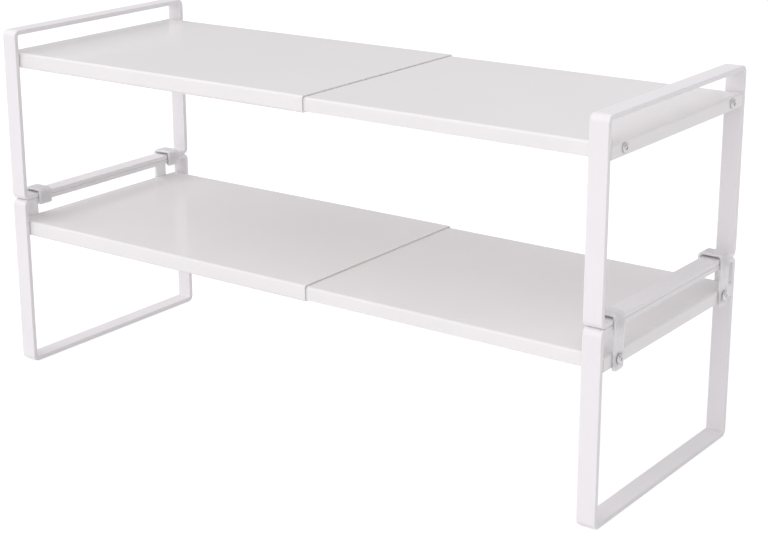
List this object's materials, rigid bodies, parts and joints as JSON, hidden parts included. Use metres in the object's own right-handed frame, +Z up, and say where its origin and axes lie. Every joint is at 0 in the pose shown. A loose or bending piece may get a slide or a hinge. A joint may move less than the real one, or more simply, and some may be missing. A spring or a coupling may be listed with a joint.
{
  "type": "cabinet shelf organizer",
  "caption": "Stacked metal cabinet shelves on flat-bar end frames, each shelf pulling out in length, with clips that join the tiers.",
  "frame": {"origin": "on the floor, under the middle of the shelves as they stand pulled out", "axes": "+X along the shelves towards the half that slides, +Y from front to back, +Z up"},
  "size_m": [0.6332, 0.227, 0.3203],
  "materials": {
    "frame_paint": "white powder coat, semi-gloss",
    "shelf_paint": "white powder coat, semi-gloss",
    "cross_bar_paint": "white powder coat, semi-gloss",
    "clip_plastic": "moulded, milky grey, translucent",
    "screw_steel": "plated steel"
  },
  "bodies": {
    "left_half": {"lower_left_frame": "frame_paint", "lower_outer_panel": "shelf_paint", "lower_left_cross_bar": "cross_bar_paint", "lower_left_front_screw": "screw_steel", "lower_left_back_screw": "screw_steel", "upper_left_frame": "frame_paint", "upper_outer_panel": "shelf_paint", "upper_left_cross_bar": "cross_bar_paint", "upper_left_front_screw": "screw_steel", "upper_left_back_screw": "screw_steel", "left_front_clip": "clip_plastic", "left_back_clip": "clip_plastic"},
    "right_half": {"lower_right_frame": "frame_paint", "lower_inner_panel": "shelf_paint", "lower_right_cross_bar": "cross_bar_paint", "lower_right_front_screw": "screw_steel", "lower_right_back_screw": "screw_steel", "upper_right_frame": "frame_paint", "upper_inner_panel": "shelf_paint", "upper_right_cross_bar": "cross_bar_paint", "upper_right_front_screw": "screw_steel", "upper_right_back_screw": "screw_steel", "right_front_clip": "clip_plastic", "right_back_clip": "clip_plastic"}
  },
  "joints": [
    {"name": "pull_out", "type": "slide", "parent": "left_half", "child": "right_half", "axis": [1, 0, 0], "range_m": [-0.27, 0]}
  ]
}
